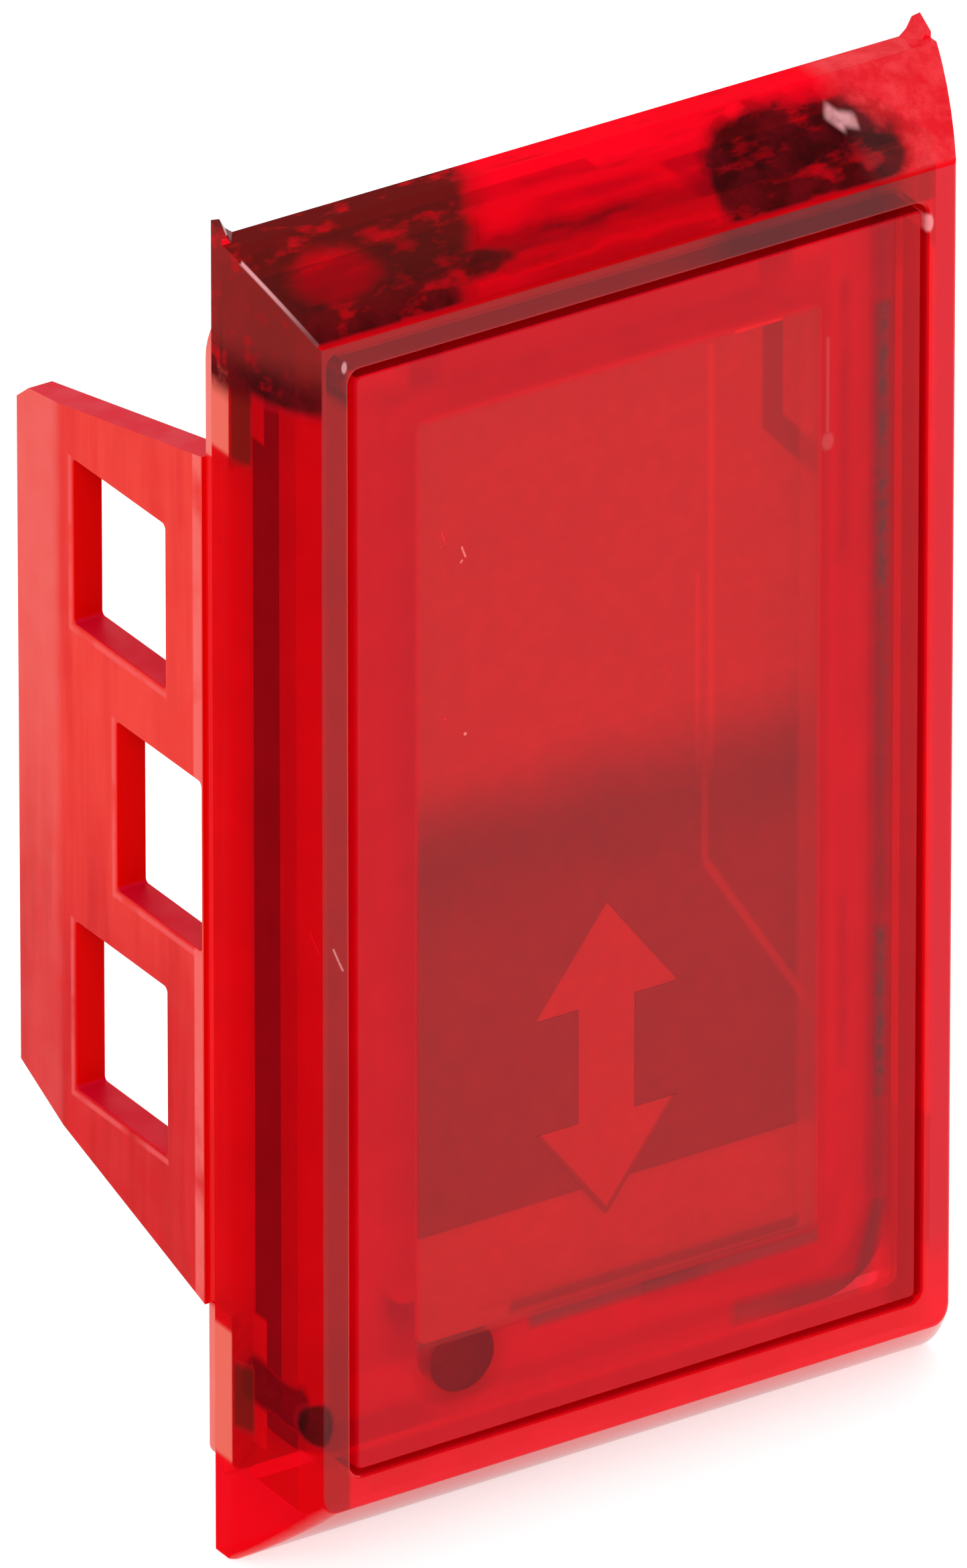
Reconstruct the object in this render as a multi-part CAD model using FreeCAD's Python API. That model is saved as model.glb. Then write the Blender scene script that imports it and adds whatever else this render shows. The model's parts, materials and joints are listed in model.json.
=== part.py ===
import FreeCAD, Part
import math
import os

"""Flush one-module manual call point: a flared red cover with a press pane, clip wings and a switch behind.

Frame: +X to the right, +Y to the back (into the wall), +Z up.  Origin: centre of the cover's rear seating
plane.  All sizes in millimetres.  One solid, or one group of identical solids, per sub-part.
"""

# ---------------------------------------------------------------- cover (flared front bezel)
RIM_HALF_W = 12.55          # rear rim, half width
RIM_TOP = 22.05             # rear rim, top edge
RIM_BOTTOM = -22.15         # rear rim, bottom edge
HORN_TOP = 22.65            # tips of the raised rear top corners
HORN_FOOT_X = 11.8          # where a horn starts to rise
HORN_DEPTH = 0.6
HORN_SINK = 0.3             # how far a horn's root sits below the rim top
HORN_TIP_W = 0.3            # flat at the very tip, slightly sloped
HORN_TIP_DROP = 0.05
HORN_STEP = (0.5, 0.2)      # knee of a horn's upper edge: in from the side, up from the rim top
HORN_RUN_OUT = (0.5, 0.35)  # how much a horn has shrunk at its front end, in X and Z
HORN_RUN_Y = 0.9
RIM_BAND = 0.9              # depth of the straight band behind the flare
FACE_HALF_W = 11.25
FACE_HALF_H = 19.65
FACE_Y = -3.95
SIDE_BULGE = 0.09           # how far the flare bows out of its chord
END_BULGE = 0.10
CORNER_R = 0.3              # bottom rim corners, where the flare starts
CORNER_FACE_R = 0.8         # the same corners at the front face
CAVITY_HALF_W = 11.3
CAVITY_HALF_H = 20.2
CAVITY_Y = -2.65            # rear side of the front wall
REBATE_DEPTH = 0.15         # shallow seat for the skirt frame in the rim's rear face
REBATE_CLEAR = 0.05
FACE_EDGE_R = 0.15

# ---------------------------------------------------------------- press pane
OPENING_HALF_W = 10.22
OPENING_HALF_H = 18.61
OPENING_R = 0.4
PANE_GAP = 0.18
PANE_EDGE_R = 0.12
PANE_FLANGE_OUT = 0.46      # how far the pane's rear flange reaches past its front slab
FLANGE_FRONT_Y = -2.55
PANE_REAR_Y = -1.85
WINDOW_HALF_W = 7.2         # thin central window
WINDOW_HALF_H = 15.7
WINDOW_T = 1.1
WINDOW_R = 0.4
HINGE_Y = -0.8
HINGE_Z = 16.9
PIN_R = 0.5
RUN_CLEARANCE = 0.06
LUG_X = (5.6, 6.8)
LUG_R = 0.9
EAR_X = (7.1, 8.3)

# ---------------------------------------------------------------- films behind the window
FILM_CLEAR = 0.1
FILM_GAP = 0.02             # air or glue line between two films
LEGEND_T = 0.15
SHADE_T = 0.1
FILM_CORNER_R = 0.35
SHADE_TOP = 3.5
SHADE_BOTTOM = -11.9
ARROW_X = -0.4
ARROW_Z = -7.7
ARROW_H = 10.6
ARROW_HEAD_W = 5.05
ARROW_HEAD_H = 3.35
ARROW_SHAFT_W = 2.0
INLAY_GAP = 0.03

# ---------------------------------------------------------------- seal, skirt frame and wings
SEAL_HALF_W = 11.2
SEAL_HALF_H = 19.6
SEAL_W = 0.5
SEAL_FRONT_Y = -0.8
SEAL_R = 2.6
SKIRT_HALF_W = 12.05
SKIRT_TOP_R = 2.1           # upper outer corners
SKIRT_BOTTOM_R = 0.4
SKIRT_HALF_H = 19.6
SKIRT_INNER_HALF_W = 9.3
SKIRT_INNER_HALF_H = 17.6
SKIRT_T = 1.1
SKIRT_HOLE_Y = 0.2          # front end of the blind screw holes
FOLD_CHAMFER = 1.0
FOLD_HALF_H = 14.3
SKIRT_INNER_R = 0.6
WING_T = 1.05
WING_CLIP = 0.8             # cut corner at the upper rear end of a clip plate
WING_CLIP_DROP = 0.45
WING_OUTER_X = 12.2
WING_REAR_Y = 11.85
WING_BEVEL = 2.85           # lead-in bevel behind the windows
WING_BEVEL_DEPTH = 0.3
WING_TOP_FRONT = 14.2
WING_TOP_REAR = 11.98
WING_BOTTOM_FRONT = -14.4
WING_BOTTOM_REAR = -10.95
WING_WINDOWS = ((3.2, 8.3, 5.5, 11.0), (1.25, 5.95, -2.5, 3.2), (3.2, 8.3, -10.3, -4.6))
WINDOW_CORNER = 0.15
WING_EDGE_R = 0.1

# ---------------------------------------------------------------- chassis plate
CHASSIS_HALF_W = 10.0
CHASSIS_HALF_H = 19.3
CHASSIS_T = 1.0
CHASSIS_R = 1.0
POST_BELOW = 0.85           # hinge post, below and above the hinge line
POST_ABOVE = 0.6
POST_R = 0.75
CHASSIS_FRONT_Y = SKIRT_T
CHASSIS_REAR_Y = CHASSIS_FRONT_Y + CHASSIS_T
SCREW_R = 0.7
SCREW_HEAD_R = 1.2
SCREW_HEAD_T = 0.8
CORNER_SCREW_X = 8.0
CORNER_SCREW_Z = 18.5
EAR_SCREW_X = 7.9
EAR_SCREW_TIP_Y = 1.3
SCREW_SLOT_HALF = 0.15
CORNER_SCREW_TIP_Y = 0.3
LED_WINDOW = (1.1, 0.8)     # half width and half height of the plate's opening for a light
RIB_OPENING_MARGIN = 0.4
OVERRUN = 1.0               # how far a cutting body runs past what it cuts
BITE = 0.2                  # overlap that joins two bodies of one piece

# ---------------------------------------------------------------- light guide
GUIDE_HALF_W = 6.9
GUIDE_HALF_H = 15.2
GUIDE_FRONT_Y = -0.9
GUIDE_T = 0.8
GUIDE_LEG_R = 0.6
GUIDE_LEG_SHOULDER = 0.3
GUIDE_LEG_X = 5.4
GUIDE_LEG_Z = 13.6
GUIDE_R = 0.6

# ---------------------------------------------------------------- striker post and ramp rib
BOSS_X = -4.93
BOSS_Z = -17.0
BOSS_R = 1.15
BOSS_REAR_Y = -1.1
STRIKER_X = -4.6
STRIKER_Z = -16.6
STRIKER_R = 0.7
STRIKER_TIP_Y = 2.72
RIB_X = (1.5, 3.9)
RIB_TOP_Z = -16.0
RIB_BOTTOM_Z = -17.2
RIB_RAMP_Y = 2.4
RAMP_GAP = 0.14

# ---------------------------------------------------------------- ramp slide and return spring
SLIDE_X = (1.4, 4.0)
SLIDE_Y = (2.7, 5.3)
SLIDE_TOP_Z = -10.0
SLIDE_HEEL_Y = 3.8          # rear end of the slide's ramp
SPIGOT_H = 1.2
SPIGOT_CLEAR = 0.15
SPRING_X = 2.7
SPRING_Y = 4.0
SPRING_TOP_Z = -4.0
SPRING_R = 0.95
WIRE_R = 0.15
SPRING_TURNS = 6

# ---------------------------------------------------------------- rear housing (switch chamber)
BOX_HALF_W = 6.5
BOX_REAR_Y = 9.4
BOX_WALL = 0.7
BOX_TOP = 2.0
BOX_BOTTOM = -18.2
EAR_REACH = 2.8
EAR_T = 1.0
EAR_HALF_H = 1.6
HOUSING_EAR_RAISE = 3.0     # the housing's ears above its mid height
BOX_EDGE_R = 0.5
GUIDE_RIB_Z = (-15.0, -6.0)
GUIDE_RIB_Y = 3.0
SHELF_Y = 2.9
SHELF_T = 0.7
SLIDE_CLEAR = 0.1           # between the slide and its guide ribs
RIB_T = (0.4, 0.5)          # left and right guide rib
HOLLOW_Z = (-12.0, 0.0)     # relief behind the ears

# ---------------------------------------------------------------- snap switch
CASE_X = (-5.1, 0.1)
CASE_Y = (4.1, 8.6)
CASE_Z = (-16.0, -6.0)
CASE_WALL = 0.6
COVER_T = 0.65
COVER_STEP = 0.45
COVER_PAD_TOP = -7.2
LEVER_PIVOT_Y = 3.2
LEVER_PIVOT_Z = -7.0
LEVER_FRONT_Y = 2.85
LEVER_T = 0.25
LEVER_X = (-4.9, -1.5)
LEVER_END_Z = -17.2
KNUCKLE_R = 0.55
LEVER_PIN_R = 0.25
LEVER_KNUCKLE_X = (-4.4, -1.2)
LEVER_SHOULDER = 1.0        # from the pivot down to the full-width plate
LUG_HALF_H = 0.6
LUG_PAIRS = ((-5.1, -4.5), (-1.1, -0.5))
EXIT_HALF_W = 0.55
BUTTON_X = -2.5
BUTTON_Z = -11.0
BUTTON_R = 0.7
BUTTON_TIP_Y = 3.25
BUTTON_END_Y = 5.3
COLLAR_STEP = 0.3
COLLAR_GAP = 0.05
BLADE_Y = (6.0, 6.12)
BLADE_X = (-3.4, -1.6)
BLADE_Z = (-14.6, -7.4)
BLADE_SLOT_X = (-2.8, -2.2)
BLADE_SLOT_Z = (-13.6, -9.0)
RIVET_X = -2.5
RIVET_Z = -14.1
RIVET_R = 0.45
MOVING_RIVET_Y = (6.12, 6.5)
FIXED_RIVET_Y = (6.9, 7.3)
COMMON_X = (-4.4, -4.0)
COMMON_ARM_X = -1.7
COMMON_ARM_Z = (-8.0, -7.5)
COMMON_ARM_Y = 6.3
SWITCHED_X = (-0.3, 0.05)
SWITCHED_ARM_X = -3.1
SWITCHED_ARM_Z = (-14.5, -13.7)
SWITCHED_ARM_Y = (7.3, 7.5)

# ---------------------------------------------------------------- board and terminal block
BOARD_Y = (2.6, 3.4)
BOARD_HALF_W = 5.8
BOARD_INSET = 0.3           # board edge inside the terminal block's height
BOARD_PIN_R = 0.35
BOARD_PIN_Z = 9.6
LED_BASE = (0.8, 0.4)       # half width, half height
LED_LENS = (0.6, 0.35)
LED_Y = (1.6, 2.2)          # lens front and base front
LEDS = ((-3.0, 9.0), (3.0, 9.0))
RESISTORS = ((-3.6, 5.0), (-3.6, 13.0), (2.2, 13.0))
RESISTOR_SIZE = (1.6, 0.45, 0.8)
BLOCK_Z = (2.2, 15.6)
BLOCK_FRONT_Y = 4.0
SKIRT_WALL = 0.5
POLE_PITCH = 4.2
POLES = (-POLE_PITCH, 0.0, POLE_PITCH)
WIRE_HOLE_R = 1.1
WIRE_Y = 6.2
CLAMP_HALF = 1.6
CAGE_HALF = 1.3             # half width of a clamp's square wire opening
CLAMP_Y = (4.6, 8.2)
CLAMP_Z = (8.6, 12.2)
CAVITY_CLEAR = 0.1
TERMINAL_SCREW_Z = 10.4
TERMINAL_HEAD_R = 1.2
TERMINAL_HEAD_CLEAR = 0.15
TERMINAL_SCREW_R = 0.8
TERMINAL_HEAD_SINK = 0.25   # screw heads below the block's rear face
TERMINAL_SLOT_HALF = 0.2
TERMINAL_SLOT_DEPTH = 0.45
CLAMP_FLOOR = 0.4
STRIP_W = 1.6
STRIP_Y = (5.6, 5.9)
STRIP_BOTTOM_Z = -5.0
STRIP_CLEAR = 0.15


# ---------------------------------------------------------------- tolerances used when picking edges
NEAR = 0.01
ALONG = 0.99


def vec(x, y, z):
    return FreeCAD.Vector(x, y, z)


def box(x, y, z):
    """Block between the pairs x, y and z."""
    return Part.makeBox(x[1] - x[0], y[1] - y[0], z[1] - z[0], vec(x[0], y[0], z[0]))


def rod_y(x, z, radius, y0, y1):
    """Cylinder along +Y from y0 to y1."""
    return Part.makeCylinder(radius, y1 - y0, vec(x, y0, z), vec(0, 1, 0))


def rod_z(x, y, radius, z0, z1):
    return Part.makeCylinder(radius, z1 - z0, vec(x, y, z0), vec(0, 0, 1))


def rod_x(y, z, radius, x0, x1):
    return Part.makeCylinder(radius, x1 - x0, vec(x0, y, z), vec(1, 0, 0))


def prism(points, direction):
    """Solid of a closed polygon moved along a direction."""
    return Part.Face(Part.makePolygon(points + [points[0]])).extrude(direction)


def rounded_slab(half_w, half_h, radius, y0, y1):
    """Plate with rounded corners, centred on the Y axis."""
    slab = box((-half_w, half_w), (y0, y1), (-half_h, half_h))
    return slab.makeFillet(radius, upright_corners(slab))


def upright_corners(body):
    """Edges of a block that run along Y."""
    return [e for e in body.Edges if abs(e.tangentAt(0).y) > ALONG]


def group(solids):
    return solids[0] if len(solids) == 1 else Part.makeCompound(solids)


def both_sides(solid):
    return [solid, solid.mirror(vec(0, 0, 0), vec(1, 0, 0))]


# ---------------------------------------------------------------- cover

def bowed_section(rim_low, rim_high, face_half, bulge, place):
    """Section through the flare: straight band, bowed flank, flat face.  place(s, y) gives the point."""
    edges = []
    for rim, face in ((rim_low, -face_half), (rim_high, face_half)):
        side = math.copysign(1.0, face)
        run = vec(face - rim, FACE_Y + RIM_BAND, 0)
        middle = vec((rim + face) / 2, (FACE_Y - RIM_BAND) / 2, 0)
        outward = vec(side * abs(run.y), -abs(run.x), 0).normalize() * bulge
        knee = middle + outward
        edges.append(Part.makeLine(place(rim, 0), place(rim, -RIM_BAND)))
        edges.append(Part.Arc(place(rim, -RIM_BAND), place(knee.x, knee.y), place(face, FACE_Y)).toShape())
    edges.append(Part.makeLine(place(-face_half, FACE_Y), place(face_half, FACE_Y)))
    edges.append(Part.makeLine(place(rim_low, 0), place(rim_high, 0)))
    return Part.Face(Part.Wire(Part.sortEdges(edges)[0]))


def is_low_ridge(edge, side):
    """True for the mitred edge that runs from the rim to the face at one lower corner."""
    reach = edge.BoundBox
    spans_flare = reach.YMin < FACE_Y + NEAR and reach.ZMin < RIM_BOTTOM + NEAR
    return spans_flare and reach.ZMax < -FACE_HALF_H + NEAR and edge.CenterOfMass.x * side > FACE_HALF_W


def rounded_low_ridge(body, side):
    """Round the mitred ridge at one lower corner, tightly at the rim and widely at the face."""
    ridge = [e for e in body.Edges if is_low_ridge(e, side)]
    first_y = ridge[0].valueAt(ridge[0].FirstParameter).y
    last_y = ridge[0].valueAt(ridge[0].LastParameter).y
    radii = (CORNER_R, CORNER_FACE_R) if first_y > last_y else (CORNER_FACE_R, CORNER_R)
    return body.makeFillet(radii[0], radii[1], ridge)


def cover_envelope():
    """Flared body: the side and end flanks meet in mitred ridges, rounded at the lower corners."""
    w = RIM_HALF_W
    upright = bowed_section(RIM_BOTTOM, RIM_TOP, FACE_HALF_H, END_BULGE, lambda s, y: vec(-w, y, s))
    level = bowed_section(-w, w, FACE_HALF_W, SIDE_BULGE, lambda s, y: vec(s, y, RIM_BOTTOM))
    body = upright.extrude(vec(2 * w, 0, 0)).common(level.extrude(vec(0, 0, RIM_TOP - RIM_BOTTOM)))
    for side in (-1, 1):
        body = rounded_low_ridge(body, side)
    return body


def horn():
    """Small raised tip on a rear top corner, running out forwards."""
    foot = [vec(HORN_FOOT_X, 0, RIM_TOP - HORN_SINK), vec(RIM_HALF_W, 0, RIM_TOP - HORN_SINK)]
    tip = [vec(RIM_HALF_W, 0, HORN_TOP), vec(RIM_HALF_W - HORN_TIP_W, 0, HORN_TOP - HORN_TIP_DROP)]
    rise = [vec(RIM_HALF_W - HORN_STEP[0], 0, RIM_TOP + HORN_STEP[1]), vec(HORN_FOOT_X, 0, RIM_TOP)]
    rear = Part.makePolygon(foot + tip + rise + foot[:1])
    front = rear.copy()
    shrink = FreeCAD.Matrix()
    shrink.move(vec(-RIM_HALF_W, 0, -(RIM_TOP - HORN_SINK)))
    shrink.scale(HORN_RUN_OUT[0], 1, HORN_RUN_OUT[1])
    shrink.move(vec(RIM_HALF_W, -HORN_RUN_Y, RIM_TOP - HORN_SINK))
    front = front.transformGeometry(shrink)
    return Part.makeLoft([rear, Part.Wire(front.Edges)], True, True)


def front_edges(shape, y):
    """Edges that lie in the plane at y."""
    return [e for e in shape.Edges if abs(e.BoundBox.YMin - y) < NEAR and abs(e.BoundBox.YMax - y) < NEAR]


def make_bezel():
    limits = box((-RIM_HALF_W, RIM_HALF_W), (-HORN_DEPTH, 0), (RIM_TOP - HORN_SINK, HORN_TOP))
    horns = [h.common(limits) for h in both_sides(horn())]
    body = cover_envelope().fuse(horns)
    cavity = box((-CAVITY_HALF_W, CAVITY_HALF_W), (CAVITY_Y, 0), (-CAVITY_HALF_H, CAVITY_HALF_H))
    cavity = cavity.makeFillet(OPENING_R, upright_corners(cavity))
    opening = rounded_slab(OPENING_HALF_W, OPENING_HALF_H, OPENING_R, FACE_Y - OVERRUN, CAVITY_Y + BITE)
    rebate_w = WING_OUTER_X + REBATE_CLEAR
    rebate_h = SKIRT_HALF_H + REBATE_CLEAR
    rebate = box((-rebate_w, rebate_w), (-REBATE_DEPTH, OVERRUN), (-rebate_h, rebate_h))
    body = body.cut([cavity, opening, rebate]).removeSplitter()
    return body.makeFillet(FACE_EDGE_R, front_edges(body, FACE_Y))


# ---------------------------------------------------------------- press pane and what it carries

def ramp_rib():
    """Rib that drives the ramp slide: its rear end is a 45 degree ramp."""
    drop = RIB_TOP_Z - RIB_BOTTOM_Z
    profile = [
        vec(RIB_X[0], PANE_REAR_Y - BITE, RIB_BOTTOM_Z),
        vec(RIB_X[0], RIB_RAMP_Y + drop, RIB_BOTTOM_Z),
        vec(RIB_X[0], RIB_RAMP_Y, RIB_TOP_Z),
        vec(RIB_X[0], PANE_REAR_Y - BITE, RIB_TOP_Z),
    ]
    return prism(profile, vec(RIB_X[1] - RIB_X[0], 0, 0))


def hinge_lug():
    web = box(LUG_X, (PANE_REAR_Y - BITE, HINGE_Y), (HINGE_Z - LUG_R, HINGE_Z + LUG_R))
    return web.fuse(rod_x(HINGE_Y, HINGE_Z, LUG_R, *LUG_X))


def make_press_pane():
    half_w = OPENING_HALF_W - PANE_GAP
    half_h = OPENING_HALF_H - PANE_GAP
    slab = rounded_slab(half_w, half_h, OPENING_R - PANE_GAP, FACE_Y, FLANGE_FRONT_Y)
    slab = slab.makeFillet(PANE_EDGE_R, front_edges(slab, FACE_Y))
    out = PANE_FLANGE_OUT
    flange = rounded_slab(half_w + out, half_h + out, OPENING_R, FLANGE_FRONT_Y, PANE_REAR_Y)
    pocket = rounded_slab(WINDOW_HALF_W, WINDOW_HALF_H, WINDOW_R, FACE_Y + WINDOW_T, PANE_REAR_Y + OVERRUN)
    body = slab.fuse(flange).cut(pocket).fuse(both_sides(hinge_lug()) + [ramp_rib()])
    bore = rod_x(HINGE_Y, HINGE_Z, PIN_R + RUN_CLEARANCE, -RIM_HALF_W, RIM_HALF_W)
    return body.cut(bore).removeSplitter()


def arrow_face(y, grow):
    """Upright double-headed arrow, grown outwards by a small margin."""
    half = ARROW_H / 2 + grow
    neck = half - ARROW_HEAD_H - 2 * grow
    head = ARROW_HEAD_W / 2 + grow
    shaft = ARROW_SHAFT_W / 2 + grow
    right = [(0, half), (head, neck), (shaft, neck), (shaft, -neck), (head, -neck), (0, -half)]
    left = [(-x, z) for x, z in reversed(right[1:-1])]
    points = [vec(ARROW_X + x, y, ARROW_Z + z) for x, z in right + left]
    return Part.Face(Part.makePolygon(points + [points[0]]))


def make_legend_film():
    """Pale sheet behind the smoked one."""
    front = FACE_Y + WINDOW_T + SHADE_T + 2 * FILM_GAP
    half_w = WINDOW_HALF_W - FILM_CLEAR
    half_h = WINDOW_HALF_H - FILM_CLEAR
    return rounded_slab(half_w, half_h, FILM_CORNER_R, front, front + LEGEND_T)


def make_shade_film():
    """Smoked sheet over the lower half of the window, cut out around the arrow."""
    front = FACE_Y + WINDOW_T + FILM_GAP
    half_w = WINDOW_HALF_W - FILM_CLEAR
    sheet = box((-half_w, half_w), (front, front + SHADE_T), (SHADE_BOTTOM, SHADE_TOP))
    return sheet.cut(arrow_face(front - OVERRUN, INLAY_GAP).extrude(vec(0, 2 * OVERRUN, 0)))


def make_arrow_inlay():
    return arrow_face(FACE_Y + WINDOW_T + FILM_GAP, 0.0).extrude(vec(0, SHADE_T, 0))


def make_striker_post():
    boss = rod_y(BOSS_X, BOSS_Z, BOSS_R, PANE_REAR_Y, BOSS_REAR_Y)
    pin = rod_y(STRIKER_X, STRIKER_Z, STRIKER_R, BOSS_REAR_Y - BITE, STRIKER_TIP_Y)
    return boss.fuse(pin).removeSplitter()


# ---------------------------------------------------------------- seal, skirt frame, wings

def make_seal_ring():
    outer = rounded_slab(SEAL_HALF_W, SEAL_HALF_H, SEAL_R, SEAL_FRONT_Y, -REBATE_DEPTH)
    w, h, radius = (size - SEAL_W for size in (SEAL_HALF_W, SEAL_HALF_H, SEAL_R))
    inner = rounded_slab(w, h, radius, SEAL_FRONT_Y - OVERRUN, OVERRUN)
    return outer.cut(inner)


def make_skirt_frame():
    outer = box((-SKIRT_HALF_W, SKIRT_HALF_W), (-REBATE_DEPTH, SKIRT_T), (-SKIRT_HALF_H, SKIRT_HALF_H))
    outer = outer.makeFillet(SKIRT_TOP_R, [e for e in upright_corners(outer) if e.CenterOfMass.z > 0])
    lower = [e for e in upright_corners(outer) if e.CenterOfMass.z < NEAR - SKIRT_HALF_H]
    outer = outer.makeFillet(SKIRT_BOTTOM_R, lower)
    inner = rounded_slab(SKIRT_INNER_HALF_W, SKIRT_INNER_HALF_H, SKIRT_INNER_R, -OVERRUN, SKIRT_T + OVERRUN)
    edge = SKIRT_HALF_W
    wedge = [
        vec(edge - FOLD_CHAMFER, 0, -FOLD_HALF_H),
        vec(edge - FOLD_CHAMFER, -OVERRUN, -FOLD_HALF_H),
        vec(edge, -OVERRUN, -FOLD_HALF_H),
        vec(edge, FOLD_CHAMFER, -FOLD_HALF_H),
    ]
    folds = both_sides(prism(wedge, vec(0, 0, 2 * FOLD_HALF_H)))
    holes = [rod_y(x, z, SCREW_R, SKIRT_HOLE_Y, SKIRT_T) for x, z in corner_screw_places()]
    return outer.cut([inner] + folds + holes)


def make_right_wing():
    """Clip plate with three staggered snap windows and a lead-in bevel at its rear edge."""
    inner = WING_OUTER_X - WING_T
    slope = (WING_TOP_REAR - WING_TOP_FRONT) / (WING_REAR_Y - SKIRT_T)
    outline = [
        (SKIRT_T, WING_BOTTOM_FRONT),
        (WING_REAR_Y, WING_BOTTOM_REAR),
        (WING_REAR_Y, WING_TOP_REAR - WING_CLIP_DROP),
        (WING_REAR_Y - WING_CLIP, WING_TOP_REAR - slope * WING_CLIP),
        (SKIRT_T, WING_TOP_FRONT),
    ]
    plate = prism([vec(inner, y, z) for y, z in outline], vec(WING_T, 0, 0))
    windows = []
    for y0, y1, z0, z1 in WING_WINDOWS:
        window = box((inner - OVERRUN, WING_OUTER_X + OVERRUN), (y0, y1), (z0, z1))
        edges = [e for e in window.Edges if abs(e.tangentAt(0).x) > ALONG]
        windows.append(window.makeFillet(WINDOW_CORNER, edges))
    bevel = [
        vec(WING_OUTER_X, WING_REAR_Y - WING_BEVEL, RIM_BOTTOM),
        vec(WING_OUTER_X + OVERRUN, WING_REAR_Y - WING_BEVEL, RIM_BOTTOM),
        vec(WING_OUTER_X + OVERRUN, WING_REAR_Y + OVERRUN, RIM_BOTTOM),
        vec(WING_OUTER_X - WING_BEVEL_DEPTH, WING_REAR_Y + NEAR, RIM_BOTTOM),
    ]
    body = plate.cut(windows + [prism(bevel, vec(0, 0, RIM_TOP - RIM_BOTTOM))])
    reaches = [(e, e.BoundBox) for e in body.Edges]
    outer = [e for e, b in reaches if b.XMin > WING_OUTER_X - NEAR and b.YMin > SKIRT_T + BITE]
    return body.makeFillet(WING_EDGE_R, outer)


def make_left_wing():
    return make_right_wing().mirror(vec(0, 0, 0), vec(1, 0, 0))


# ---------------------------------------------------------------- chassis plate, pin, screws, light guide

def corner_screw_places():
    return [(sx * CORNER_SCREW_X, sz * CORNER_SCREW_Z) for sx in (-1, 1) for sz in (-1, 1)]


def housing_ear_z():
    return (BOX_BOTTOM + BOX_TOP) / 2 + HOUSING_EAR_RAISE


def block_ear_z():
    return (BLOCK_Z[0] + BLOCK_Z[1]) / 2


def guide_leg_places():
    return [(sx * GUIDE_LEG_X, sz * GUIDE_LEG_Z) for sx in (-1, 1) for sz in (-1, 1)]


def make_chassis_plate():
    plate = rounded_slab(CHASSIS_HALF_W, CHASSIS_HALF_H, CHASSIS_R, CHASSIS_FRONT_Y, CHASSIS_REAR_Y)
    post = box(EAR_X, (HINGE_Y, CHASSIS_FRONT_Y + BITE), (HINGE_Z - POST_BELOW, HINGE_Z + POST_ABOVE))
    post = post.fuse(rod_x(HINGE_Y, HINGE_Z + POST_R - POST_BELOW, POST_R, *EAR_X))
    body = plate.fuse(both_sides(post))
    y0, y1 = CHASSIS_FRONT_Y - OVERRUN, CHASSIS_REAR_Y + OVERRUN
    holes = [rod_x(HINGE_Y, HINGE_Z, PIN_R, -RIM_HALF_W, RIM_HALF_W)]
    holes += [rod_y(x, z, SCREW_R, y0, y1) for x, z in corner_screw_places()]
    for z in (housing_ear_z(), block_ear_z()):
        holes += [rod_y(x, z, SCREW_R, y0, y1) for x in (-EAR_SCREW_X, EAR_SCREW_X)]
    margin = RIB_OPENING_MARGIN
    holes.append(rod_y(STRIKER_X, STRIKER_Z, STRIKER_R + margin, y0, y1))
    x = (RIB_X[0] - margin, RIB_X[1] + margin)
    holes.append(box(x, (y0, y1), (RIB_BOTTOM_Z - margin, RIB_TOP_Z + margin)))
    w, h = LED_WINDOW
    holes += [box((x - w, x + w), (y0, y1), (z - h, z + h)) for x, z in LEDS]
    holes += [rod_y(x, z, GUIDE_LEG_R, y0, y1) for x, z in guide_leg_places()]
    return body.cut(holes)


def make_hinge_pin():
    return rod_x(HINGE_Y, HINGE_Z, PIN_R, -EAR_X[1], EAR_X[1])


def pan_screw(x, z, tip_y, seat_y):
    """Slotted screw along -Y: head behind seat_y, shank forward to tip_y."""
    shank = rod_y(x, z, SCREW_R, tip_y, seat_y)
    head = rod_y(x, z, SCREW_HEAD_R, seat_y, seat_y + SCREW_HEAD_T)
    across = (x - SCREW_HEAD_R - OVERRUN, x + SCREW_HEAD_R + OVERRUN)
    y = (seat_y + SCREW_HEAD_T / 2, seat_y + SCREW_HEAD_T + OVERRUN)
    slot = box(across, y, (z - SCREW_SLOT_HALF, z + SCREW_SLOT_HALF))
    return shank.fuse(head).cut(slot)


def make_chassis_screws():
    return group([pan_screw(x, z, CORNER_SCREW_TIP_Y, CHASSIS_REAR_Y) for x, z in corner_screw_places()])


def make_light_guide():
    rear = GUIDE_FRONT_Y + GUIDE_T
    plate = rounded_slab(GUIDE_HALF_W, GUIDE_HALF_H, GUIDE_R, GUIDE_FRONT_Y, rear)
    leg_r = GUIDE_LEG_R + GUIDE_LEG_SHOULDER
    legs = [rod_y(x, z, leg_r, rear, CHASSIS_FRONT_Y) for x, z in guide_leg_places()]
    pegs = [rod_y(x, z, GUIDE_LEG_R, rear, CHASSIS_REAR_Y) for x, z in guide_leg_places()]
    return plate.fuse(legs + pegs).removeSplitter()


# ---------------------------------------------------------------- ramp slide and return spring

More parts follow.
